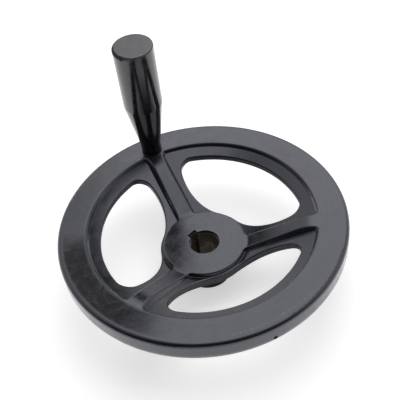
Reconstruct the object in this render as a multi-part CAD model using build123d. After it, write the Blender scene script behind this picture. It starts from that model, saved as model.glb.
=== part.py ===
from build123d import *

import os
from math import cos, hypot, radians, tan

# Dished handwheel of 200 mm with three spokes and a revolving grip, in millimetres.
# The origin is on the bore's axis at the back face of the hub. +Z runs along the bore, towards
# the grip, and +Y runs along the spoke that carries the grip.

# Driving dimensions ------------------------------------------------------------------------------

WHEEL_R = 100.0
SPOKE_ANGLES = (90.0, 210.0, 330.0)  # counted from +X
GRIP_CIRCLE_R = 86.0  # radius on which the grip stands
GRIP_ANGLE = 89.0  # counted from +X, just beside the spoke's centre line

# Heights along the bore
RIM_TOP = 52.5
RIM_DEPTH = 18.0
HUB_TOP = 32.0
FLANGE_BACK = 21.0  # back face of the hub's flange, where the boss begins

# The dish: rib tops and both faces of the web are cones, each a height at DATUM_R and a slope
DATUM_R = 55.0
RIB_HEIGHT, RIB_SLOPE = 43.85, 0.484
WEB_HEIGHT, WEB_SLOPE = 40.1, 0.435
BACK_HEIGHT, BACK_SLOPE = 33.8, 0.455
RIB_BLEND_AT_RIM, RIB_BLEND_AT_HUB = 40.0, 4.0

# Pockets between the ribs, measured at the foot of their walls
POCKET_RIM_R, POCKET_HUB_R = 78.0, 29.3
POCKET_DEPTH = 5.5  # upright, more than the ribs stand above the web
POCKET_DRAFT_AT_RIM, POCKET_DRAFT_AT_HUB = 30.0, 7.0  # degrees from upright
POCKET_CORNER_AT_RIM, POCKET_CORNER_AT_HUB = 3.3, 2.5
POCKET_EDGE_ROUND, POCKET_FOOT_ROUND = 1.4, 0.5
RIB_FOOT, RIB_DRAFT = 7.2, 30.0  # half width, and degrees from upright

# Windows through the web
WINDOW_RIM_R, WINDOW_HUB_R = 70.8, 31.2
WINDOW_SIDE_AT_HUB, WINDOW_SIDE_AT_RIM = 6.1, 15.5  # distances from the spoke's centre line
WINDOW_CORNER_AT_RIM, WINDOW_CORNER_AT_HUB = 8.8, 42.0
WINDOW_LIP_FRONT, WINDOW_LIP_BACK = 1.1, 2.0

# Rim section
RIM_EDGE_FRONT, RIM_EDGE_BACK = 3.0, 7.5
RIM_BACK_INNER_R, RIM_BACK_INNER_ROUND = 77.6, 4.0
RIM_BACK_LEAN, RIM_BACK_FILLET = 0.8, 2.0
VENT_R, VENT_DEPTH, VENT_HEIGHT, VENT_ANGLE = 1.5, 6.0, 41.5, 270.0

# Hub, bush and keyway
BOSS_R, BOSS_EDGE, BOSS_FILLET = 16.7, 1.0, 2.5
BORE_R, BORE_CHAMFER = 10.0, 0.5
KEY_WIDTH, KEY_DEPTH, KEY_ANGLE = 6.0, 2.8, 110.0
LIP_R, LIP_DEPTH, LIP_ROUND = 10.35, 2.0, 0.5  # the moulding's own mouth over the bush
BUSH_LENGTH = HUB_TOP - LIP_DEPTH
BUSH_R, BUSH_FLATS = 14.6, 28.0
BUSH_GROOVE_DEPTH, BUSH_GROOVES = 1.0, ((6.0, 10.0), (20.0, 24.0))

# Threaded insert under the grip, with heights below the rim's top
INSERT_R, INSERT_LENGTH = 5.5, 13.0
INSERT_GROOVE_DEPTH, INSERT_GROOVE = 0.8, (4.0, 8.0)
THREAD_R = 3.7  # mean radius of the M8 thread

# Spindle, with heights above the rim's top
TAIL_LENGTH, TAIL_CHAMFER = 11.0, 0.8
COLLAR_R, COLLAR_HEIGHT = 5.5, 3.0
SHANK_R, SHANK_TOP, SHANK_CHAMFER = 4.0, 86.5, 0.6
GROOVE_R, GROOVE_LOW, GROOVE_HIGH = 3.5, 81.1, 82.3
SOCKET_FLATS, SOCKET_DEPTH = 5.0, 4.0

# Washer and retaining ring
WASHER_R, WASHER_BORE_R, WASHER_THICKNESS = 8.0, 4.2, 1.0
RING_R, RING_BORE_R, RING_THICKNESS = 5.8, 3.55, 1.0
RING_MOUTH = 60.0  # degrees left open

# Grip, with heights above the rim's top
GRIP_LOW, GRIP_TOP = 0.3, 94.4
FOOT_R, FOOT_HEIGHT, FOOT_ROUND = 7.4, 6.5, 14.0
KINK_R, KINK_HEIGHT, KINK_ROUND = 14.0, 45.6, 4.0
END_R, END_ROUND, BASE_ROUND = 14.2, 1.1, 0.6
RUNNING_CLEARANCE = 0.05
COLLAR_CLEARANCE, COLLAR_GAP = 0.35, 0.1
CAVITY_R, CAVITY_FLOOR = 9.5, 80.0

# End cap
CAP_R, CAP_THICKNESS = 12.6, 2.0
SKIRT_WALL, SKIRT_LENGTH = 1.8, 4.0

OVERLAP = 1.0  # how far a cutter runs past the face that it opens
TOUCH = 1e-3  # two places closer than this are the same
UPRIGHT = 25.0  # degrees from Z within which an edge counts as upright


# Shared shapes -----------------------------------------------------------------------------------

def turned(corners):
    """Solid of revolution about Z through (radius, height, rounding) corners."""
    face = Plane.YZ * make_face(Polyline(*[(r, z) for r, z, rounding in corners], close=True))
    for r, z, rounding in corners:
        if rounding:
            corner = face.vertices().sort_by_distance((0, r, z))[0]
            face = fillet(corner, rounding)
    return revolve(face, Axis.Z)


def disc(radius, low, high):
    """Plain round bar on the Z axis between two heights."""
    return Pos(Z=low) * extrude(Circle(radius), amount=high - low)


def cone_height(height_at_datum, slope, r):
    """Height of one of the dish's cones at a radius."""
    return height_at_datum + slope * (r - DATUM_R)


def cone_radius(height_at_datum, slope, height):
    """Radius at which one of the dish's cones reaches a height."""
    return DATUM_R + (height - height_at_datum) / slope


def web_top(r):
    """Height of the web's front face at a radius."""
    return cone_height(WEB_HEIGHT, WEB_SLOPE, r)


# Wheel body --------------------------------------------------------------------------------------

def wheel_blank():
    """Dished disc with the boss and the rim, its front at the ribs' height all round."""
    back_wall_r = RIM_BACK_INNER_R - RIM_BACK_LEAN
    rim_back = RIM_TOP - RIM_DEPTH
    return turned([
        (0, 0, 0),
        (BOSS_R, 0, BOSS_EDGE),
        (BOSS_R, FLANGE_BACK, BOSS_FILLET),
        (cone_radius(BACK_HEIGHT, BACK_SLOPE, FLANGE_BACK), FLANGE_BACK, 0),
        (back_wall_r, cone_height(BACK_HEIGHT, BACK_SLOPE, back_wall_r), RIM_BACK_FILLET),
        (RIM_BACK_INNER_R, rim_back, RIM_BACK_INNER_ROUND),
        (WHEEL_R, rim_back, RIM_EDGE_BACK),
        (WHEEL_R, RIM_TOP, RIM_EDGE_FRONT),
        (cone_radius(RIB_HEIGHT, RIB_SLOPE, RIM_TOP), RIM_TOP, RIB_BLEND_AT_RIM),
        (cone_radius(RIB_HEIGHT, RIB_SLOPE, HUB_TOP), HUB_TOP, RIB_BLEND_AT_HUB),
        (0, HUB_TOP, 0),
    ])


def spoke_strip(half_at_hub, half_at_rim, hub_r, rim_r):
    """Tapering strip along the +X spoke, given by its half widths at two radii."""
    slope = (half_at_rim - half_at_hub) / (rim_r - hub_r)
    start = hub_r / 2
    inner = half_at_hub - slope * (hub_r - start)
    outer = half_at_hub + slope * (WHEEL_R - hub_r)
    corners = ((start, inner), (WHEEL_R, outer), (WHEEL_R, -outer), (start, -inner))
    return make_face(Polyline(*corners, close=True))


def window_plans():
    """The three windows' faces, left between a rim circle, a hub circle and the spokes."""
    strip = spoke_strip(WINDOW_SIDE_AT_HUB, WINDOW_SIDE_AT_RIM, WINDOW_HUB_R, WINDOW_RIM_R)
    plan = Circle(WINDOW_RIM_R) - Circle(WINDOW_HUB_R)
    for angle in SPOKE_ANGLES:
        plan -= Rot(Z=angle) * strip
    middle = (WINDOW_RIM_R + WINDOW_HUB_R) / 2
    at_rim = [v for v in plan.vertices() if hypot(v.X, v.Y) > middle]
    plan = fillet(at_rim, WINDOW_CORNER_AT_RIM)
    at_hub = [v for v in plan.vertices() if hypot(v.X, v.Y) < WINDOW_HUB_R + TOUCH]
    return fillet(at_hub, WINDOW_CORNER_AT_HUB).faces()


def rib_form():
    """Ridge along the +X spoke, as high as the pockets are deep, that the pockets leave."""
    low, high = -OVERLAP, POCKET_DEPTH + OVERLAP
    at_low = RIB_FOOT - low * tan(radians(RIB_DRAFT))
    at_high = RIB_FOOT - high * tan(radians(RIB_DRAFT))
    corners = ((-at_low, low), (at_low, low), (at_high, high), (-at_high, high))
    section = Plane.YZ * make_face(Polyline(*corners, close=True))
    along = Vector(1, 0, WEB_SLOPE)
    return Pos(Z=web_top(0)) * extrude(section, amount=WHEEL_R * along.length, dir=along)


def pocket_cutters():
    """The three pockets as one cutter, which leaves the ribs, the rim's step and the hub's wall."""
    at_hub, at_rim = web_top(POCKET_HUB_R), web_top(POCKET_RIM_R)
    lean_at_hub = POCKET_DEPTH * tan(radians(POCKET_DRAFT_AT_HUB))
    lean_at_rim = POCKET_DEPTH * tan(radians(POCKET_DRAFT_AT_RIM))
    pockets = turned([
        (POCKET_HUB_R, at_hub, 0),
        (POCKET_RIM_R, at_rim, 0),
        (POCKET_RIM_R + lean_at_rim, at_rim + POCKET_DEPTH, 0),
        (POCKET_HUB_R - lean_at_hub, at_hub + POCKET_DEPTH, 0),
    ])
    for angle in SPOKE_ANGLES:
        pockets -= Rot(Z=angle) * rib_form()
    return round_pockets(pockets)


def round_pockets(pockets):
    """Round the corners of the pockets and the foot of their walls."""
    middle = (POCKET_RIM_R + POCKET_HUB_R) / 2

    def is_corner(edge):
        return abs(edge.bounding_box().size.Z - POCKET_DEPTH) < TOUCH

    def at_rim(edge):
        return is_corner(edge) and hypot(edge.center().X, edge.center().Y) > middle

    def is_floor(face):
        place = face.position_at(0.5, 0.5)
        return abs(place.Z - web_top(hypot(place.X, place.Y))) < TOUCH

    pockets = fillet(pockets.edges().filter_by(at_rim), POCKET_CORNER_AT_RIM)
    pockets = fillet(pockets.edges().filter_by(is_corner), POCKET_CORNER_AT_HUB)
    return fillet(pockets.faces().filter_by(is_floor).edges(), POCKET_FOOT_ROUND)


def round_pocket_edges(body, pockets):
    """Round the crests of the ribs, of the rim's step and of the hub's edge."""

    def is_crest(edge):
        middle = edge.position_at(0.5)
        above_foot = middle.Z - web_top(hypot(middle.X, middle.Y)) > 2 * POCKET_FOOT_ROUND
        return above_foot and pockets.distance_to(middle) < TOUCH

    return fillet(body.edges().filter_by(is_crest), POCKET_EDGE_ROUND)


def cut_windows(body):
    """Cut the three windows through the web and round their lips."""
    plans = window_plans()
    for plan in plans:
        body -= Pos(Z=FLANGE_BACK - OVERLAP) * extrude(plan, amount=RIM_TOP - FLANGE_BACK)

    def on_window(edge):
        middle = edge.position_at(0.5)
        in_plan = Vertex(middle.X, middle.Y, 0)
        runs_round = abs(edge.tangent_at(0.5).Z) < cos(radians(UPRIGHT))
        return runs_round and any(plan.distance_to(in_plan) < TOUCH for plan in plans)

    def at_front(edge):
        middle = edge.position_at(0.5)
        return middle.Z > web_top(hypot(middle.X, middle.Y)) - POCKET_FOOT_ROUND

    lips = body.edges().filter_by(on_window)
    body = fillet(lips.filter_by(at_front), WINDOW_LIP_FRONT)
    back_lips = body.edges().filter_by(on_window).filter_by(lambda edge: not at_front(edge))
    return fillet(back_lips, WINDOW_LIP_BACK)


def keyed_hole(radius, clearance, low, high):
    """Cutter for a round hole with its keyway, between two heights."""
    reach = BORE_R + KEY_DEPTH + clearance
    slot = Pos(X=reach / 2) * Rectangle(reach, KEY_WIDTH + 2 * clearance)
    plan = Circle(radius) + Rot(Z=KEY_ANGLE) * slot
    return Pos(Z=low) * extrude(plan, amount=high - low)


def cut_mouth(body):
    """Cut the moulding's mouth over the bush and round its edge."""
    body -= keyed_hole(LIP_R, LIP_R - BORE_R, BUSH_LENGTH, HUB_TOP + OVERLAP)

    def on_mouth(edge):
        middle = edge.position_at(0.5)
        return abs(middle.Z - HUB_TOP) < TOUCH and hypot(middle.X, middle.Y) < BUSH_R

    return fillet(body.edges().filter_by(on_mouth), LIP_ROUND)


def vent_hole():
    """Cutter for the small blind hole in the rim's edge."""
    drill = extrude(Circle(VENT_R), amount=VENT_DEPTH + OVERLAP)
    inwards = Rot(Z=VENT_ANGLE) * Pos(WHEEL_R - VENT_DEPTH, 0, VENT_HEIGHT) * Rot(Y=90)
    return inwards * drill


def wheel_body():
    """One-piece moulding: rim, dished web with windows, ribs, hub and boss."""
    pockets = pocket_cutters()
    body = round_pocket_edges(wheel_blank() - pockets, pockets)
    body = cut_mouth(cut_windows(body))
    return body - bush_outside() - on_grip_axis(insert_outside()) - vent_hole()


# Bush in the hub ---------------------------------------------------------------------------------

def bush_outside():
    """Outer form of the bush, with the grooves and flats that lock it in the moulding."""
    solid = disc(BUSH_R, 0, BUSH_LENGTH)
    for low, high in BUSH_GROOVES:
        solid -= disc(BUSH_R, low, high) - disc(BUSH_R - BUSH_GROOVE_DEPTH, low, high)
    return solid & Pos(Z=BUSH_LENGTH / 2) * Box(BUSH_FLATS, 2 * BUSH_R, BUSH_LENGTH)


def hub_bush():
    """Steel bush with the keyed bore."""
    bush = bush_outside() - keyed_hole(BORE_R, 0, 0, BUSH_LENGTH)
    rims = [e for e in bush.edges().filter_by(GeomType.CIRCLE) if abs(e.radius - BORE_R) < TOUCH]
    return chamfer(rims, BORE_CHAMFER)


# Handle ------------------------------------------------------------------------------------------

def on_grip_axis(shape):
    """Stand a shape, drawn with heights above the rim's top, on the grip's axis."""
    return Rot(Z=GRIP_ANGLE) * Pos(GRIP_CIRCLE_R, 0, RIM_TOP) * shape


def insert_outside():
    """Outer form of the threaded insert, sunk from the rim's top."""
    low, high = INSERT_GROOVE
    groove = disc(INSERT_R, -high, -low) - disc(INSERT_R - INSERT_GROOVE_DEPTH, -high, -low)
    return disc(INSERT_R, -INSERT_LENGTH, 0) - groove


def handle_insert():
    """Steel insert that carries the spindle's thread."""
    return insert_outside() - disc(THREAD_R, -INSERT_LENGTH, 0)


def handle_spindle():
    """Spindle with threaded tail, collar, bearing shank, ring groove and hexagon socket."""
    spindle = turned([
        (0, -TAIL_LENGTH, 0),
        (THREAD_R, -TAIL_LENGTH, 0),
        (THREAD_R, 0, 0),
        (COLLAR_R, 0, 0),
        (COLLAR_R, COLLAR_HEIGHT, 0),
        (SHANK_R, COLLAR_HEIGHT, 0),
        (SHANK_R, GROOVE_LOW, 0),
        (GROOVE_R, GROOVE_LOW, 0),
        (GROOVE_R, GROOVE_HIGH, 0),
        (SHANK_R, GROOVE_HIGH, 0),
        (SHANK_R, SHANK_TOP, 0),
        (0, SHANK_TOP, 0),
    ])
    spindle = chamfer(spindle.edges().sort_by(Axis.Z)[0], TAIL_CHAMFER)
    spindle = chamfer(spindle.edges().sort_by(Axis.Z)[-1], SHANK_CHAMFER)
    socket = RegularPolygon(SOCKET_FLATS / 2, 6, major_radius=False)
    return spindle - Pos(Z=SHANK_TOP - SOCKET_DEPTH) * extrude(socket, amount=SOCKET_DEPTH)


def spindle_washer():
    """Thrust washer that lies under the retaining ring."""
    low = GROOVE_LOW - WASHER_THICKNESS
    return disc(WASHER_R, low, GROOVE_LOW) - disc(WASHER_BORE_R, low, GROOVE_LOW)


def retaining_ring():
    """Open ring seated on the lower flank of the spindle's groove."""
    high = GROOVE_LOW + RING_THICKNESS
    ring = disc(RING_R, GROOVE_LOW, high) - disc(RING_BORE_R, GROOVE_LOW, high)
    half = 2 * RING_R * tan(radians(RING_MOUTH / 2))
    mouth = make_face(Polyline((0, 0), (2 * RING_R, half), (2 * RING_R, -half), close=True))
    return ring - Pos(Z=GROOVE_LOW) * extrude(mouth, amount=RING_THICKNESS)


def grip():
    """Moulded sleeve: straight foot, cone and long hand part, bored for the spindle."""
    bore_r = SHANK_R + RUNNING_CLEARANCE
    collar_r, collar_roof = COLLAR_R + COLLAR_CLEARANCE, COLLAR_HEIGHT + COLLAR_GAP
    seat = GRIP_TOP - CAP_THICKNESS
    return turned([
        (collar_r, GRIP_LOW, 0),
        (FOOT_R, GRIP_LOW, BASE_ROUND),
        (FOOT_R, FOOT_HEIGHT, FOOT_ROUND),
        (KINK_R, KINK_HEIGHT, KINK_ROUND),
        (END_R, GRIP_TOP, END_ROUND),
        (CAP_R, GRIP_TOP, 0),
        (CAP_R, seat, 0),
        (CAVITY_R, seat, 0),
        (CAVITY_R, CAVITY_FLOOR, 0),
        (bore_r, CAVITY_FLOOR, 0),
        (bore_r, collar_roof, 0),
        (collar_r, collar_roof, 0),
    ])


def end_cap():
    """Plug that closes the grip's end, with a skirt held in the cavity."""
    seat = GRIP_TOP - CAP_THICKNESS
    skirt_low = seat - SKIRT_LENGTH
    return turned([
        (0, GRIP_TOP, 0),
        (CAP_R, GRIP_TOP, 0),
        (CAP_R, seat, 0),
        (CAVITY_R, seat, 0),
        (CAVITY_R, skirt_low, 0),
        (CAVITY_R - SKIRT_WALL, skirt_low, 0),
        (CAVITY_R - SKIRT_WALL, seat, 0),
        (0, seat, 0),
    ])


# Writing -----------------------------------------------------------------------------------------

def main():
    """Build every piece and write it as parts/NAME.step."""
    pieces = {
        "wheel_body": wheel_body(),
        "hub_bush": hub_bush(),
        "handle_insert": on_grip_axis(handle_insert()),
        "handle_spindle": on_grip_axis(handle_spindle()),
        "spindle_washer": on_grip_axis(spindle_washer()),
        "retaining_ring": on_grip_axis(retaining_ring()),
        "grip": on_grip_axis(grip()),
        "end_cap": on_grip_axis(end_cap()),
    }
    os.makedirs("parts", exist_ok=True)
    for name, piece in pieces.items():
        export_step(piece, f"parts/{name}.step")


if __name__ == "__main__":
    main()
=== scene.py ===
"""Finishes, floor, lamp and camera for a moulded machine handwheel with a revolving grip.

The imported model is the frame: its solids keep their places and shapes, and this file dresses them.
All lengths are in metres. Angles round an axis are counted from +X towards +Y.
"""

import logging
import math
from dataclasses import dataclass
from enum import Enum

import bpy
from mathutils import Euler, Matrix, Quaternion, Vector


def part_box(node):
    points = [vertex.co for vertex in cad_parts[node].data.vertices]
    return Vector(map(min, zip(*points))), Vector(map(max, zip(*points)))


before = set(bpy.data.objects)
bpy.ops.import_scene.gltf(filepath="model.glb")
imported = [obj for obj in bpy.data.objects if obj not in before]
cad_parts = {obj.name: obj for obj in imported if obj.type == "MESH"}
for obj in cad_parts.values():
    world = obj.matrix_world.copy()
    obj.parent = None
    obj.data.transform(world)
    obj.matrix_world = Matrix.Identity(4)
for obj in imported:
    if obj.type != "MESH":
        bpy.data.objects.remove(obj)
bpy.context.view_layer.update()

Socket = bpy.types.NodeSocket
Value = Socket | float
Pair = tuple[float, float]
Triple = tuple[float, float, float]
Span = Pair  # where something starts and where it ends
Tone = Triple  # a colour's red, green and blue

MM = 0.001
FULL_TURN = 2 * math.pi
TURN_SEAM: Span = (-0.01, 0.0)  # the radians over which a full turn steps back to nothing
RISING: Span = (0.0, 1.0)
FALLING: Span = (1.0, 0.0)
NOISE_MIDDLE = 0.5
SPECK_CORE = 0.6  # the solid part of a speck, as a share of its radius
WHITE: Tone = (1.0, 1.0, 1.0)
LOG = logging.getLogger("handwheel")


def in_radians(span: Span) -> Span:
    """Turns two angles in degrees into radians."""
    return math.radians(span[0]), math.radians(span[1])


def swung(level: float, swing: Span) -> Span:
    """Takes a level down and up by the two parts of a swing."""
    return level + swing[0], level + swing[1]


def grey(level: float) -> Tone:
    """Makes a neutral colour."""
    return level, level, level


class MathStep(Enum):
    """The calculations that the finishes do on a value."""

    ADD = "ADD"
    MULTIPLY = "MULTIPLY"
    POWER = "POWER"
    LARGER = "MAXIMUM"
    ANGLE = "ARCTAN2"


@dataclass(frozen=True)
class Cloud:
    """A cloudy noise.

    Attributes:
        size: the width of its largest features.
        detail: how many finer layers it has.
        rough: how strong the finer layers are.
        bend: how far it is distorted.
    """

    size: float
    detail: float = 2.0
    rough: float = 0.5
    bend: float = 0.0


@dataclass(frozen=True)
class RoundPlace:
    """A place on the surface, read round an upright axis.

    Attributes:
        radius: the distance from the axis.
        angle: the angle round it in radians, from -pi to pi.
        height: the height above the hub's back face.
    """

    radius: Socket
    angle: Socket
    height: Socket


class Tree:
    """A node tree, with short calls for the nodes that the finishes and the surround share."""

    def __init__(self, tree: bpy.types.NodeTree) -> None:
        """Takes hold of a tree."""
        self.nodes = tree.nodes
        self.links = tree.links

    def feed(self, socket: Socket, value: Value | Tone) -> None:
        """Puts a value or another node's output into a socket.

        Args:
            socket: the input.
            value: what goes in.
        """
        if isinstance(value, bpy.types.NodeSocket):
            self.links.new(value, socket)
        elif isinstance(value, tuple) and socket.type == "RGBA":
            socket.default_value = (*value, 1.0)
        else:
            socket.default_value = value

    def calculate(self, step: MathStep, first: Value, second: Value) -> Socket:
        """Does one calculation.

        Args:
            step: which one.
            first: its first value.
            second: its second value.

        Returns:
            The result.
        """
        node = self.nodes.new("ShaderNodeMath")
        node.operation = step.value
        self.feed(node.inputs[0], first)
        self.feed(node.inputs[1], second)
        return node.outputs[0]

    def add(self, first: Value, second: Value) -> Socket:
        """Adds two values."""
        return self.calculate(MathStep.ADD, first, second)

    def times(self, first: Value, second: Value) -> Socket:
        """Multiplies two values."""
        return self.calculate(MathStep.MULTIPLY, first, second)

    def ease(self, value: Value, span: Span, levels: Span = RISING) -> Socket:
        """Takes a value smoothly from one level to another.

        Args:
            value: what is read.
            span: where the change starts and ends.
            levels: the level before it and the level after it.

        Returns:
            The level.
        """
        node = self.nodes.new("ShaderNodeMapRange")
        node.interpolation_type = "SMOOTHSTEP"
        for socket, number in zip(node.inputs, (value, *span, *levels)):
            self.feed(socket, number)
        return node.outputs[0]

    def band(self, value: Value, span: Span, soft: float) -> Socket:
        """Is 1 between two values and falls off to 0 outside them.

        Args:
            value: what is read.
            span: the two values.
            soft: how far each edge fades to either side.

        Returns:
            The band.
        """
        low, high = span
        rise = self.ease(value, (low - soft, low + soft))
        fall = self.ease(value, (high - soft, high + soft), FALLING)
        return self.times(rise, fall)

    def ray(self, *kinds: str) -> Socket:
        """Tells whether the light path is of one of some kinds.

        Args:
            kinds: the kinds, as the light path's outputs are named.

        Returns:
            1 if it is.
        """
        path = self.nodes.new("ShaderNodeLightPath")
        found = path.outputs[kinds[0]]
        for kind in kinds[1:]:
            found = self.calculate(MathStep.LARGER, found, path.outputs[kind])
        return found


class FinishTree(Tree):
    """A material's node tree round one shader, with calls for its patterns and relief."""

    def __init__(self, name: str) -> None:
        """Makes an empty material.

        Args:
            name: the material's name.
        """
        self.material = bpy.data.materials.new(name)
        self.material.use_nodes = True
        super().__init__(self.material.node_tree)
        self.nodes.clear()
        self.shader = self.nodes.new("ShaderNodeBsdfPrincipled")
        output = self.nodes.new("ShaderNodeOutputMaterial")
        self.links.new(self.shader.outputs["BSDF"], output.inputs["Surface"])
        self.place = self.nodes.new("ShaderNodeTexCoord").outputs["Object"]

    def wear(self, **values: Value | Tone) -> None:
        """Sets the shader's inputs.

        Args:
            values: what goes into each, by its name in small letters with underscores.
        """
        inputs = {socket.name.lower().replace(" ", "_"): socket for socket in self.shader.inputs}
        for name, value in values.items():
            self.feed(inputs[name], value)

    def blend(self, factor: Value, first: Value | Tone, second: Value | Tone) -> Socket:
        """Mixes two colours.

        Args:
            factor: how much of the second.
            first: the first colour.
            second: the second colour.

        Returns:
            The mixed colour.
        """
        node = self.nodes.new("ShaderNodeMix")
        node.data_type = "RGBA"
        self.feed(node.inputs["Factor"], factor)
        colour_inputs = [socket for socket in node.inputs if socket.type == "RGBA"]
        self.feed(colour_inputs[0], first)
        self.feed(colour_inputs[1], second)
        return next(socket for socket in node.outputs if socket.type == "RGBA")

    def noise(self, cloud: Cloud, place: Socket | None = None) -> Socket:
        """Reads a cloudy noise from 0 to 1.

        Args:
            cloud: the noise.
            place: where it is read, or None for the object's own place.

        Returns:
            The noise.
        """
        node = self.nodes.new("ShaderNodeTexNoise")
        self.feed(node.inputs["Vector"], place or self.place)
        node.inputs["Scale"].default_value = 1.0 / cloud.size
        node.inputs["Detail"].default_value = cloud.detail
        node.inputs["Roughness"].default_value = cloud.rough
        node.inputs["Distortion"].default_value = cloud.bend
        return node.outputs["Fac"]

    def wander(self, cloud: Cloud, reach: float) -> Socket:
        """Reads an offset that follows a noise to both sides of nothing, and spans the reach in all."""
        return self.times(self.add(self.noise(cloud), -NOISE_MIDDLE), reach)

    def specks(self, spacing: float, size: float) -> Socket:
        """Reads round specks scattered at random.

        Args:
            spacing: about how far apart they are.
            size: a speck's radius, as a share of the spacing.

        Returns:
            1 inside a speck and 0 outside.
        """
        node = self.nodes.new("ShaderNodeTexVoronoi")
        self.feed(node.inputs["Vector"], self.place)
        node.inputs["Scale"].default_value = 1.0 / spacing
        return self.ease(node.outputs["Distance"], (SPECK_CORE * size, size), FALLING)

    def apart(self) -> tuple[Socket, Socket, Socket]:
        """Splits the object's own place.

        Returns:
            Its X, Y and Z.
        """
        node = self.nodes.new("ShaderNodeSeparateXYZ")
        self.feed(node.inputs[0], self.place)
        return node.outputs[0], node.outputs[1], node.outputs[2]

    def join(self, x: Value, y: Value, z: Value) -> Socket:
        """Joins three values into a place.

        Args:
            x: its X.
            y: its Y.
            z: its Z.

        Returns:
            The place.
        """
        node = self.nodes.new("ShaderNodeCombineXYZ")
        for socket, value in zip(node.inputs, (x, y, z)):
            self.feed(socket, value)
        return node.outputs[0]

    def around(self, axis: Pair = (0.0, 0.0)) -> RoundPlace:
        """Reads the place round an upright axis.

        Args:
            axis: the axis's X and Y.

        Returns:
            The place.
        """
        x, y, height = self.apart()
        across = self.add(x, -axis[0])
        along = self.add(y, -axis[1])
        squares = self.add(self.times(across, across), self.times(along, along))
        radius = self.calculate(MathStep.POWER, squares, 0.5)
        angle = self.calculate(MathStep.ANGLE, along, across)
        return RoundPlace(radius, angle, height)

    def full_turn(self, angle: Socket) -> Socket:
        """Turns an angle from -pi to pi into one from 0 to a full turn."""
        below = self.ease(angle, TURN_SEAM, FALLING)
        return self.add(angle, self.times(below, FULL_TURN))

    def bump(self, height: Value, depth: float, over: Socket | None = None) -> Socket:
        """Tilts the surface by a height field.

        Args:
            height: the height, 0 to 1.
            depth: how high 1 is.
            over: a normal that this one is laid over.

        Returns:
            The new normal.
        """
        node = self.nodes.new("ShaderNodeBump")
        node.inputs["Strength"].default_value = 1.0
        node.inputs["Distance"].default_value = depth
        self.feed(node.inputs["Height"], height)
        if over is not None:
            self.feed(node.inputs["Normal"], over)
        return node.outputs["Normal"]


@dataclass(frozen=True)
class WornStretch:
    """The dulled, mottled stretch of the rim's top, where hands have worn it.

    Attributes:
        reach: where it starts and ends, in degrees round the bore.
        fade: how far its ends fade, in radians.
        ring: the radii that it lies between.
        ring_fade: how far its sides fade.
        top: the heights between which it comes in, just under the rim's top.
        mottle: the noise that thins it.
        mottle_span: the part of that noise that counts.
        thinnest: how much of it is left where it is thinnest.
        hairs: the noise of its fine slanted hairs.
        hair_steps: how tightly the hairs lie across their run and along it.
        hair_span: the part of that noise that counts.
        hair_strength: how pale the hairs are.
    """

    reach: Span = (158.0, 221.0)
    fade: float = 0.22
    ring: Span = (80.5 * MM, 96 * MM)
    ring_fade: float = 1.6 * MM
    top: Span = (50.5 * MM, 52 * MM)
    mottle: Cloud = Cloud(6 * MM, detail=5.0, rough=0.7, bend=0.8)
    mottle_span: Span = (0.30, 0.58)
    thinnest: float = 0.66
    hairs: Cloud = Cloud(2.0 * MM, detail=3.0, rough=0.7)
    hair_steps: Pair = (2.2, 0.22)
    hair_span: Span = (0.60, 0.72)
    hair_strength: float = 0.22

    def dulling(self, tree: FinishTree, place: RoundPlace) -> Socket:
        """Finds the stretch.

        Args:
            tree: the finish.
            place: the place round the bore.

        Returns:
            1 where it is fully dulled.
        """
        stretch = tree.band(tree.full_turn(place.angle), in_radians(self.reach), self.fade)
        on_rim = tree.band(place.radius, self.ring, self.ring_fade)
        on_top = tree.ease(place.height, self.top)
        mottle = tree.ease(tree.noise(self.mottle), self.mottle_span, (self.thinnest, 1.0))
        return tree.times(tree.times(tree.times(stretch, on_rim), on_top), mottle)

    def scratches(self, tree: FinishTree, dulled: Socket) -> Socket:
        """Finds the fine slanted hairs in the stretch.

        Args:
            tree: the finish.
            dulled: the stretch.

        Returns:
            How pale they are.
        """
        across, along = self.hair_steps
        x, y, _ = tree.apart()
        slanted = tree.join(
            tree.times(tree.add(x, y), across),
            tree.times(tree.add(x, tree.times(y, -1.0)), along),
            0.0,
        )
        hairs = tree.ease(tree.noise(self.hairs, slanted), self.hair_span)
        return tree.times(dulled, tree.times(hairs, self.hair_strength))


@dataclass(frozen=True)
class Streak:
    """A thin, broken, pale line, used for a scratch and for a painted highlight.

    Attributes:
        line: where it lies, measured across its run.
        line_fade: how far its sides fade.
        reach: where it starts and ends, measured along its run.
        reach_fade: how far its ends fade.
        strength: how pale it is.
    """

    line: Span
    line_fade: float
    reach: Span
    reach_fade: float
    strength: float

    def mark(self, tree: FinishTree, across: Socket, along: Socket, broken: Socket) -> Socket:
        """Finds the line.

        Args:
            tree: the finish.
            across: the value measured across its run.
            along: the value measured along it.
            broken: what breaks it up, 0 to 1.

        Returns:
            How pale it is.
        """
        line = tree.band(across, self.line, self.line_fade)
        reach = tree.band(along, self.reach, self.reach_fade)
        return tree.times(tree.times(line, reach), tree.times(broken, self.strength))


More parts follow.
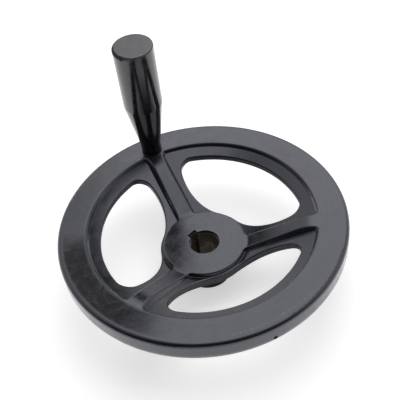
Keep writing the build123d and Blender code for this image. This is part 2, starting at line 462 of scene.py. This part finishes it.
@dataclass(frozen=True)
class PaleMarks:
    """The pale marks: painted highlights on the near rim and round the bore, and a scratch on the grip's
    spoke.

    Attributes:
        wander: the noise that the rim's painted highlight and the spoke's scratch stray by.
        wander_reach: how far they stray.
        breaks: the noise that breaks the marks up.
        breaks_span: the part of that noise that counts.
        on_rim: the painted highlight on the near rim's edge, across by radius and along by angle in
            radians.
        on_spoke: the scratch on the grip's spoke, across by X and along by Y.
        ring: the radii of the painted highlight ring round the bore.
        ring_fade: how far its sides fade.
        ring_strength: how pale it is.
    """

    wander: Cloud = Cloud(7 * MM, detail=3.0, rough=0.6)
    wander_reach: float = 3.0 * MM
    breaks: Cloud = Cloud(1.6 * MM, detail=3.0, rough=0.7)
    breaks_span: Span = (0.44, 0.60)
    on_rim: Streak = Streak(
        line=(94.2 * MM, 94.9 * MM),
        line_fade=0.25 * MM,
        reach=in_radians((-106.0, -66.0)),
        reach_fade=0.12,
        strength=0.35,
    )
    on_spoke: Streak = Streak(
        line=(2.6 * MM, 2.9 * MM),
        line_fade=0.18 * MM,
        reach=(54.0 * MM, 68.0 * MM),
        reach_fade=1.5 * MM,
        strength=0.8,
    )
    ring: Span = (10.2 * MM, 12.4 * MM)
    ring_fade: float = 0.9 * MM
    ring_strength: float = 0.12

    def marks(self, tree: FinishTree, place: RoundPlace) -> Socket:
        """Finds the marks.

        Args:
            tree: the finish.
            place: the place round the bore.

        Returns:
            How pale the surface is, 0 to 1.
        """
        x, y, _ = tree.apart()
        wander = tree.wander(self.wander, self.wander_reach)
        broken = tree.ease(tree.noise(self.breaks), self.breaks_span)
        # The rim's line is a painted highlight along its outer top edge.
        on_rim = self.on_rim.mark(tree, tree.add(place.radius, wander), place.angle, broken)
        on_spoke = self.on_spoke.mark(tree, tree.add(x, wander), y, broken)
        # A painted highlight ring round the bore, broken up like the other marks.
        ring = tree.band(place.radius, self.ring, self.ring_fade)
        rubs_and_painted_highlight = tree.times(ring, tree.times(broken, self.ring_strength))
        return tree.add(tree.add(on_rim, on_spoke), rubs_and_painted_highlight)


@dataclass(frozen=True)
class Scuffs:
    """Short fine scratches that run round an axis.

    Attributes:
        lines: the noise that they follow.
        line_span: the part of that noise that counts.
        steps: how tightly they lie by radius, by angle and by height.
    """

    lines: Cloud
    line_span: Span
    steps: Triple

    def marks(self, tree: FinishTree, place: RoundPlace) -> Socket:
        """Finds the scratches.

        Args:
            tree: the finish.
            place: the place round the axis.

        Returns:
            1 in a scratch.
        """
        by_radius, by_angle, by_height = self.steps
        stretched = tree.join(
            tree.times(place.radius, by_radius),
            tree.times(place.angle, by_angle),
            tree.times(place.height, by_height),
        )
        return tree.ease(tree.noise(self.lines, stretched), self.line_span)


@dataclass(frozen=True)
class WheelPlastic:
    """The wheel body's satin black plastic, with handling marks and painted highlights on the rim and the
    hub.

    Attributes:
        name: the material's name.
        tone: its colour.
        cool_tone: the bluish colour that it clouds into.
        worn_tone: the colour where hands have dulled it.
        dust_tone: the colour of its dust.
        mark_tone: the colour of its pale scratches and of its painted highlights.
        clouds: the noise between the two colours.
        cloud_span: the part of that noise that counts.
        smudges: the noise of its roughness.
        smudge_span: the part of that noise that counts.
        dust_span: the part of the smudges that holds dust.
        dust_spacing: how far apart the specks of dust are.
        dust_size: a speck's radius, as a share of the spacing.
        dust_strength: how pale the dust is.
        roughness: of the clean surface.
        roughness_swing: how far the smudges take it down and up.
        scuffed_roughness: what a scuff adds to it.
        worn_roughness: of the dulled surface.
        index: its refractive index.
        gloss_tint: the cool tint of its gloss.
        skin: the noise of its finest relief.
        skin_depth: the depth of that relief.
        flow: the noise of the slow waves that the moulding left.
        flow_depth: the depth of those waves.
        scuffs: the scratches round the rim and the hub.
        scuff_depth: their depth.
        hub_side: the radii over which they fade out from the hub on to the spokes.
        rim_side: the radii over which they come back towards the rim.
        scuffs_on_spokes: how much of them is left on the spokes.
        worn: the dulled stretch of rim.
        pale_marks: the pale marks.
    """

    name: str = "satin_black_plastic"
    tone: Tone = (0.008, 0.0085, 0.011)
    cool_tone: Tone = (0.007, 0.008, 0.012)
    worn_tone: Tone = (0.006, 0.006, 0.0065)
    dust_tone: Tone = (0.16, 0.16, 0.16)
    mark_tone: Tone = (0.20, 0.20, 0.21)
    clouds: Cloud = Cloud(38 * MM, detail=3.0, rough=0.55)
    cloud_span: Span = (0.35, 0.7)
    smudges: Cloud = Cloud(9 * MM, detail=4.0, rough=0.6, bend=0.6)
    smudge_span: Span = (0.3, 0.75)
    dust_span: Span = (0.45, 0.7)
    dust_spacing: float = 3.1 * MM
    dust_size: float = 0.11
    dust_strength: float = 0.35
    roughness: float = 0.22
    roughness_swing: Span = (-0.05, 0.07)
    scuffed_roughness: float = 0.12
    worn_roughness: float = 0.95
    index: float = 1.63
    gloss_tint: Tone = (0.88, 0.89, 1.0)
    skin: Cloud = Cloud(1.1 * MM, detail=2.0, rough=0.5)
    skin_depth: float = 0.0025 * MM
    flow: Cloud = Cloud(16 * MM, detail=1.0, rough=0.4)
    flow_depth: float = 0.08 * MM
    scuffs: Scuffs = Scuffs(
        lines=Cloud(2.2 * MM, detail=3.0, rough=0.65),
        line_span=(0.60, 0.68),
        steps=(3.2, 4 * MM, 3.2),
    )
    scuff_depth: float = 0.010 * MM
    hub_side: Span = (28 * MM, 34 * MM)
    rim_side: Span = (74 * MM, 81 * MM)
    scuffs_on_spokes: float = 0.15
    worn: WornStretch = WornStretch()
    pale_marks: PaleMarks = PaleMarks()

    def material(self) -> bpy.types.Material:
        """Builds the finish.

        Returns:
            The material.
        """
        tree = FinishTree(self.name)
        place = tree.around()
        smudges = tree.noise(self.smudges)
        scuffs = self.scuffs_off_spokes(tree, place)
        worn = self.worn.dulling(tree, place)
        tree.wear(
            base_color=self.colour(tree, place, smudges, worn),
            roughness=self.dullness(tree, smudges, scuffs, worn),
            ior=self.index,
            specular_tint=self.gloss_tint,
            normal=self.relief(tree, scuffs),
        )
        return tree.material

    def colour(self, tree: FinishTree, place: RoundPlace, smudges: Socket, worn: Socket) -> Socket:
        """Lays the worn colour, the dust, and the pale scratches and painted highlights over the
        plastic's own.

        Args:
            tree: the finish.
            place: the place round the bore.
            smudges: the noise of its roughness.
            worn: the dulled stretch of rim.

        Returns:
            The colour.
        """
        specks = tree.specks(self.dust_spacing, self.dust_size)
        dust = tree.times(specks, tree.ease(smudges, self.dust_span))
        # pale holds the pale scratches and hairs, and the painted highlights on the near rim and round
        # the bore.
        pale = tree.add(self.pale_marks.marks(tree, place), self.worn.scratches(tree, worn))
        clean = tree.blend(tree.ease(tree.noise(self.clouds), self.cloud_span), self.tone, self.cool_tone)
        handled = tree.blend(worn, clean, self.worn_tone)
        dusty = tree.blend(tree.times(dust, self.dust_strength), handled, self.dust_tone)
        return tree.blend(pale, dusty, self.mark_tone)

    def dullness(self, tree: FinishTree, smudges: Socket, scuffs: Socket, worn: Socket) -> Socket:
        """Works out the roughness.

        Args:
            tree: the finish.
            smudges: the noise that it swings with.
            scuffs: the scratches round the rim and the hub.
            worn: the dulled stretch of rim.

        Returns:
            The roughness.
        """
        satin = tree.ease(smudges, self.smudge_span, swung(self.roughness, self.roughness_swing))
        scuffed = tree.add(satin, tree.times(scuffs, self.scuffed_roughness))
        return tree.add(scuffed, tree.times(worn, self.worn_roughness - self.roughness))

    def relief(self, tree: FinishTree, scuffs: Socket) -> Socket:
        """Tilts the surface by its skin, its waves and its scuffs.

        Args:
            tree: the finish.
            scuffs: the scratches round the rim and the hub.

        Returns:
            The normal.
        """
        skin = tree.bump(tree.noise(self.skin), self.skin_depth)
        flow = tree.bump(tree.noise(self.flow), self.flow_depth, skin)
        return tree.bump(scuffs, self.scuff_depth, flow)

    def scuffs_off_spokes(self, tree: FinishTree, place: RoundPlace) -> Socket:
        """Finds the scratches that run round the rim and the hub, and fade out on the spokes.

        Args:
            tree: the finish.
            place: the place round the bore.

        Returns:
            1 in a full scratch.
        """
        left = self.scuffs_on_spokes
        hub = tree.ease(place.radius, self.hub_side, (1.0, left))
        rim = tree.ease(place.radius, self.rim_side, (left, 1.0))
        return tree.times(self.scuffs.marks(tree, place), tree.calculate(MathStep.LARGER, hub, rim))


@dataclass(frozen=True)
class GripEnd:
    """Where the grip's upper end is.

    Attributes:
        axis: the X and Y of the grip's axis.
        height: the end's height.
        radius: its radius.
    """

    axis: Pair
    height: float
    radius: float


@dataclass(frozen=True)
class EndStain:
    """The ragged dark stain round one side of the grip's end.

    Attributes:
        tone: its colour.
        roughness: its roughness.
        reach: where it starts and ends, in degrees round the grip.
        fade: how far its ends fade, in radians.
        edge: the noise of its ragged edge.
        edge_reach: how far that edge strays.
        edge_reach_on_face: the same on the end's face, as a share.
        below_end: how far below the end it starts to come in and is full.
        inside_edge: how far inside the end's edge it starts to come in and is full.
    """

    tone: Tone = (0.010, 0.003, 0.004)
    roughness: float = 0.9
    reach: Span = (148.0, 228.0)
    fade: float = 0.30
    edge: Cloud = Cloud(2.4 * MM, detail=3.0, rough=0.65)
    edge_reach: float = 5.0 * MM
    edge_reach_on_face: float = 0.3
    below_end: Span = (2.9 * MM, 1.9 * MM)
    inside_edge: Span = (2.1 * MM, 1.3 * MM)

    def mark(self, tree: FinishTree, place: RoundPlace, end: GripEnd) -> Socket:
        """Finds the stain.

        Args:
            tree: the finish.
            place: the place round the grip.
            end: where the grip's end is.

        Returns:
            1 where it is stained.
        """
        ragged = tree.wander(self.edge, self.edge_reach)
        heights = (end.height - self.below_end[0], end.height - self.below_end[1])
        radii = (end.radius - self.inside_edge[0], end.radius - self.inside_edge[1])
        side = tree.band(tree.full_turn(place.angle), in_radians(self.reach), self.fade)
        high = tree.ease(tree.add(place.height, ragged), heights)
        outer = tree.ease(tree.add(place.radius, tree.times(ragged, self.edge_reach_on_face)), radii)
        return tree.times(side, tree.times(high, outer))


@dataclass(frozen=True)
class GripPlastic:
    """The grip's glossier black plastic, with a dark stain at one side of its end.

    Attributes:
        name: the material's name.
        end: where the grip's end is.
        tone: its colour.
        cloud_lift: how much paler its clouds are, as a factor.
        clouds: the noise of its colour.
        cloud_span: the part of that noise that counts.
        rubs: the noise of its roughness.
        rub_span: the part of that noise that counts.
        roughness: its roughness.
        roughness_swing: how far the rubs take it down and up.
        scuffed_roughness: what a hairline adds to it.
        index: its refractive index.
        gloss_tint: the cool tint of its gloss.
        hairlines: the fine scratches round it.
        hairline_depth: their depth.
        skin: the noise of its finest relief.
        skin_depth: the depth of that relief.
        stain: the stain.
    """

    name: str
    end: GripEnd
    tone: Tone = (0.005, 0.005, 0.006)
    cloud_lift: float = 1.5
    clouds: Cloud = Cloud(16 * MM, detail=3.0, rough=0.55)
    cloud_span: Span = (0.3, 0.75)
    rubs: Cloud = Cloud(5 * MM, detail=4.0, rough=0.65, bend=0.5)
    rub_span: Span = (0.3, 0.75)
    roughness: float = 0.155
    roughness_swing: Span = (-0.04, 0.07)
    scuffed_roughness: float = 0.09
    index: float = 1.6
    gloss_tint: Tone = (0.96, 0.93, 1.0)
    hairlines: Scuffs = Scuffs(
        lines=Cloud(2.5 * MM, detail=3.0, rough=0.6),
        line_span=(0.60, 0.68),
        steps=(1.5, 3 * MM, 5.0),
    )
    hairline_depth: float = 0.003 * MM
    skin: Cloud = Cloud(1.2 * MM, detail=1.0, rough=0.4)
    skin_depth: float = 0.002 * MM
    stain: EndStain = EndStain()

    def material(self) -> bpy.types.Material:
        """Builds the finish.

        Returns:
            The material.
        """
        tree = FinishTree(self.name)
        place = tree.around(self.end.axis)
        hairlines = self.hairlines.marks(tree, place)
        stain = self.stain.mark(tree, place, self.end)

        pale_tone = tuple(self.cloud_lift * part for part in self.tone)
        clouds = tree.ease(tree.noise(self.clouds), self.cloud_span)
        clean = tree.blend(clouds, self.tone, pale_tone)
        levels = swung(self.roughness, self.roughness_swing)
        rubs_and_painted_highlight = tree.ease(tree.noise(self.rubs), self.rub_span, levels)
        scuffed = tree.add(rubs_and_painted_highlight, tree.times(hairlines, self.scuffed_roughness))
        skin = tree.bump(tree.noise(self.skin), self.skin_depth)
        tree.wear(
            base_color=tree.blend(stain, clean, self.stain.tone),
            roughness=tree.add(scuffed, tree.times(stain, self.stain.roughness - self.roughness)),
            ior=self.index,
            specular_tint=self.gloss_tint,
            normal=tree.bump(hairlines, self.hairline_depth, skin),
        )
        return tree.material


@dataclass(frozen=True)
class TurnedSteel:
    """Turned steel with fine tool rings round an upright axis.

    Attributes:
        name: the material's name.
        tone: its colour.
        stain_tone: the colour of its oil and tarnish.
        stain: how much of it is stained, 0 to 1.
        roughness: its roughness.
        axis: the X and Y of its axis.
        rings: the noise of its tool rings.
        rings_by_angle: how far a turn round the axis moves along that noise.
        ring_span: the part of that noise that counts.
        ring_depth: the depth of the rings.
        ring_swing: how far they take the roughness down and up.
        film: the noise of its oil and tarnish.
        film_span: the part of that noise that counts when nothing is stained.
        film_shift: how far the stain lowers that part.
        film_roughness: what the film adds to the roughness.
    """

    name: str
    tone: Tone
    stain_tone: Tone
    stain: float
    roughness: float
    axis: Pair = (0.0, 0.0)
    rings: Cloud = Cloud(0.18 * MM, detail=2.0, rough=0.6)
    rings_by_angle: float = 0.02 * MM
    ring_span: Span = (0.3, 0.7)
    ring_depth: float = 0.008 * MM
    ring_swing: Span = (-0.06, 0.06)
    film: Cloud = Cloud(6 * MM, detail=4.0, rough=0.6, bend=0.8)
    film_span: Span = (0.62, 0.9)
    film_shift: float = 0.5
    film_roughness: float = 0.12

    def material(self) -> bpy.types.Material:
        """Builds the finish.

        Returns:
            The material.
        """
        tree = FinishTree(self.name)
        place = tree.around(self.axis)
        turned = tree.join(place.radius, tree.times(place.angle, self.rings_by_angle), place.height)
        rings = tree.noise(self.rings, turned)
        shift = self.film_shift * self.stain
        film = tree.ease(tree.noise(self.film), (self.film_span[0] - shift, self.film_span[1] - shift))
        worked = tree.ease(rings, self.ring_span, swung(self.roughness, self.ring_swing))
        tree.wear(
            base_color=tree.blend(film, self.tone, self.stain_tone),
            metallic=1.0,
            roughness=tree.add(worked, tree.times(film, self.film_roughness)),
            normal=tree.bump(rings, self.ring_depth),
        )
        return tree.material


@dataclass(frozen=True)
class Wheel:
    """The moulded wheel body and the steel bush in its hub.

    Attributes:
        plastic: the body's finish.
        bush: the bush's finish.
    """

    plastic: WheelPlastic = WheelPlastic()
    bush: TurnedSteel = TurnedSteel(
        "oiled_bush_steel",
        tone=(0.46, 0.42, 0.36),
        stain_tone=(0.19, 0.16, 0.125),
        stain=0.75,
        roughness=0.46,
    )

    def dress(self) -> None:
        """Gives the body and the bush their finishes."""
        dress_node("wheel_body", self.plastic.material())
        dress_node("hub_bush", self.bush.material())


@dataclass(frozen=True)
class Handle:
    """The revolving grip with its end cap, and the steel pieces that carry it.

    Attributes:
        end: where the grip's end is.
        cap_tone: the end cap's colour.
        cap_roughness: its roughness.
        zinc_tone: the steel's colour.
        zinc_stain_tone: the colour of its tarnish.
        zinc_stain: how much of it is tarnished, 0 to 1.
        zinc_roughness: its roughness.
    """

    end: GripEnd
    cap_tone: Tone = (0.010, 0.009, 0.010)
    cap_roughness: float = 0.30
    zinc_tone: Tone = (0.62, 0.62, 0.60)
    zinc_stain_tone: Tone = (0.38, 0.37, 0.34)
    zinc_stain: float = 0.3
    zinc_roughness: float = 0.30

    def dress(self) -> None:
        """Gives each piece its finish."""
        grip = GripPlastic("gloss_black_plastic", self.end)
        cap = GripPlastic("cap_black_plastic", self.end, tone=self.cap_tone, roughness=self.cap_roughness)
        zinc = TurnedSteel(
            "zinc_plated_steel",
            tone=self.zinc_tone,
            stain_tone=self.zinc_stain_tone,
            stain=self.zinc_stain,
            roughness=self.zinc_roughness,
            axis=self.end.axis,
        )
        dress_node("grip", grip.material())
        dress_node("end_cap", cap.material())
        for node in ("handle_insert", "handle_spindle", "spindle_washer", "retaining_ring"):
            dress_node(node, zinc.material())


@dataclass(frozen=True)
class Softbox:
    """A rectangular soft lamp that faces the object.

    Attributes:
        name: the lamp's name.
        azimuth: its direction from the object, in degrees from +Y towards +X.
        elevation: its height above the floor, in degrees.
        distance: how far away its centre is.
        size: its width and height.
        roll: how far it is turned about the line to the object, in degrees.
        power: its power in watts.
    """

    name: str = "big_softbox"
    azimuth: float = 46.0
    elevation: float = 65.0
    distance: float = 1.2
    size: Pair = (0.95, 1.50)
    roll: float = 18.0
    power: float = 5.8

    def build(self) -> None:
        """Hangs the lamp."""
        azimuth, elevation = in_radians((self.azimuth, self.elevation))
        level = math.cos(elevation)
        way = Vector((level * math.sin(azimuth), level * math.cos(azimuth), math.sin(elevation)))
        lamp = bpy.data.lights.new(self.name, "AREA")
        lamp.shape = "RECTANGLE"
        lamp.size, lamp.size_y = self.size
        lamp.energy = self.power
        holder = bpy.data.objects.new(self.name, lamp)
        holder.location = self.distance * way
        roll = Quaternion((0.0, 0.0, 1.0), math.radians(self.roll))
        holder.rotation_euler = ((-way).to_track_quat("-Z", "Y") @ roll).to_euler()
        bpy.context.scene.collection.objects.link(holder)


@dataclass(frozen=True)
class Floor:
    """A pale floor that takes the object's shadow, and has a painted shadow under the wheel in
    reflections.

    Attributes:
        size: its side.
        tone: its colour.
        mottle: the noise of its colour.
        mottle_swing: how far that noise takes the colour down and up, as a share.
        roughness: its roughness.
        glow: how much white it adds for the camera.
        mirrored_glow: how much white it adds for reflections.
        glow_under_wheel: the same under the wheel, lower there as a painted shadow.
        wheel_edge: the radii between which that changes.
    """

    size: float = 40.0
    tone: float = 0.72
    mottle: Cloud = Cloud(0.2)
    mottle_swing: float = 0.01
    roughness: float = 0.9
    glow: float = 0.54
    mirrored_glow: float = 0.95
    glow_under_wheel: float = 0.10
    wheel_edge: Span = (85 * MM, 105 * MM)

    def build(self) -> None:
        """Lays the floor."""
        half = self.size / 2
        mesh = bpy.data.meshes.new("floor")
        corners = [(-half, -half, 0), (half, -half, 0), (half, half, 0), (-half, half, 0)]
        mesh.from_pydata(corners, [], [(0, 1, 2, 3)])
        floor = bpy.data.objects.new("floor", mesh)
        bpy.context.scene.collection.objects.link(floor)
        floor.data.materials.append(self.material())

    def material(self) -> bpy.types.Material:
        """Builds the finish.

        Returns:
            The material.
        """
        tree = FinishTree("pale_floor")
        low = grey(self.tone * (1.0 - self.mottle_swing))
        high = grey(self.tone * (1.0 + self.mottle_swing))
        tree.wear(
            base_color=tree.blend(tree.noise(self.mottle), low, high),
            roughness=self.roughness,
            specular_ior_level=0.0,
            emission_color=WHITE,
            emission_strength=self.shown_white(tree),
        )
        return tree.material

    def shown_white(self, tree: FinishTree) -> Socket:
        """Works out the white that the floor adds where it is shown, and not where it lights the object.

        Args:
            tree: the floor's finish.

        Returns:
            The floor's own light for the camera and for reflections, with a painted shadow under the
            wheel in reflections.
        """
        seen = tree.times(tree.ray("Is Camera Ray"), self.glow)
        # Reflections see less of the floor's white under the wheel: a painted shadow.
        levels = (self.glow_under_wheel, self.mirrored_glow)
        mirrored_level_with_painted_shadow = tree.ease(tree.around().radius, self.wheel_edge, levels)
        mirrored = tree.times(tree.ray("Is Glossy Ray", "Is Transmission Ray"), mirrored_level_with_painted_shadow)
        return tree.add(seen, mirrored)


@dataclass(frozen=True)
class Surround:
    """A surround that is white to look at, and lights the object from one pale side.

    Attributes:
        pale: its level on its pale side.
        dim: its level on the side that it darkens to.
        pale_side: the pale side's direction, in degrees from +Y towards +X.
        dims: how far towards the pale side the darkening ends and starts, -1 to 1.
        shown: its level for the camera, and for anything clear that it looks through.
    """

    pale: float = 1.06
    dim: float = 0.06
    pale_side: float = 36.0
    dims: Span = (-0.64, 0.40)
    shown: float = 1.0

    def build(self) -> None:
        """Makes the surround the scene's world."""
        world = bpy.data.worlds.new("surround")
        world.use_nodes = True
        tree = Tree(world.node_tree)
        background = tree.nodes["Background"]
        background.inputs["Color"].default_value = (*WHITE, 1.0)
        tree.feed(background.inputs["Strength"], self.level(tree))
        bpy.context.scene.world = world

    def level(self, tree: Tree) -> Socket:
        """Works out how bright the surround is in each direction.

        Args:
            tree: the world's tree.

        Returns:
            The level that lights the object, or the one that is shown to the camera.
        """
        side = math.radians(self.pale_side)
        towards = tree.nodes.new("ShaderNodeVectorMath")
        towards.operation = "DOT_PRODUCT"
        towards.inputs[1].default_value = (math.sin(side), math.cos(side), 0.0)
        direction = tree.nodes.new("ShaderNodeTexCoord").outputs["Generated"]
        tree.feed(towards.inputs[0], direction)
        light = tree.ease(towards.outputs["Value"], self.dims, (self.dim, self.pale))

        seen = tree.ray("Is Camera Ray", "Is Transmission Ray")
        level = tree.nodes.new("ShaderNodeMix")
        level.data_type = "FLOAT"
        for socket, value in zip((level.inputs[0], *level.inputs[2:4]), (seen, light, self.shown)):
            tree.feed(socket, value)
        return level.outputs[0]


@dataclass(frozen=True)
class Studio:
    """The plain pale place that the object stands in.

    Attributes:
        floor: the floor.
        surround: the surround.
        lamp: the soft lamp.
    """

    floor: Floor = Floor()
    surround: Surround = Surround()
    lamp: Softbox = Softbox()

    def build(self) -> None:
        """Makes the floor, the surround and the lamp."""
        self.floor.build()
        self.surround.build()
        self.lamp.build()


@dataclass(frozen=True)
class Viewpoint:
    """A camera that looks down on the wheel from the front left.

    Attributes:
        place: where it stands.
        turn: its rotation about X, Y and Z, in degrees.
        lens: its focal length in millimetres.
        sensor: its sensor's width in millimetres.
        reach: the nearest and the farthest that it sees.
    """

    place: Triple = (-134.66 * MM, -359.53 * MM, 478.33 * MM)
    turn: Triple = (43.266, 5.647, -26.685)
    lens: float = 75.48
    sensor: float = 36.0
    reach: Span = (0.01, 50.0)

    def build(self) -> None:
        """Makes the camera and hands it to the scene."""
        camera = bpy.data.cameras.new("viewpoint")
        camera.lens = self.lens
        camera.sensor_width = self.sensor
        camera.clip_start, camera.clip_end = self.reach
        holder = bpy.data.objects.new("viewpoint", camera)
        holder.location = self.place
        holder.rotation_euler = Euler([math.radians(angle) for angle in self.turn], "XYZ")
        bpy.context.scene.collection.objects.link(holder)
        bpy.context.scene.camera = holder


def upper_end(name: str) -> GripEnd:
    """Finds the upper end of a turned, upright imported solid.

    Args:
        name: the node's name.

    Returns:
        Its axis, its height and its radius.
    """
    low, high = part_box(name)
    axis = ((low[0] + high[0]) / 2, (low[1] + high[1]) / 2)
    return GripEnd(axis, high[2], (high[0] - low[0]) / 2)


def dress_node(name: str, material: bpy.types.Material) -> None:
    """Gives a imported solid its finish.

    Args:
        name: the node's name.
        material: its finish.
    """
    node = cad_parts[name]
    node.data.materials.clear()
    node.data.materials.append(material)
    LOG.info("%s wears %s", name, material.name)


def main() -> None:
    """Builds the scene in order."""
    logging.basicConfig(level=logging.INFO, format="%(name)s: %(message)s")
    bpy.context.scene.view_settings.view_transform = "Standard"
    Viewpoint().build()
    Studio().build()
    Wheel().dress()
    Handle(upper_end("grip")).dress()


if __name__ == "__main__":
    main()
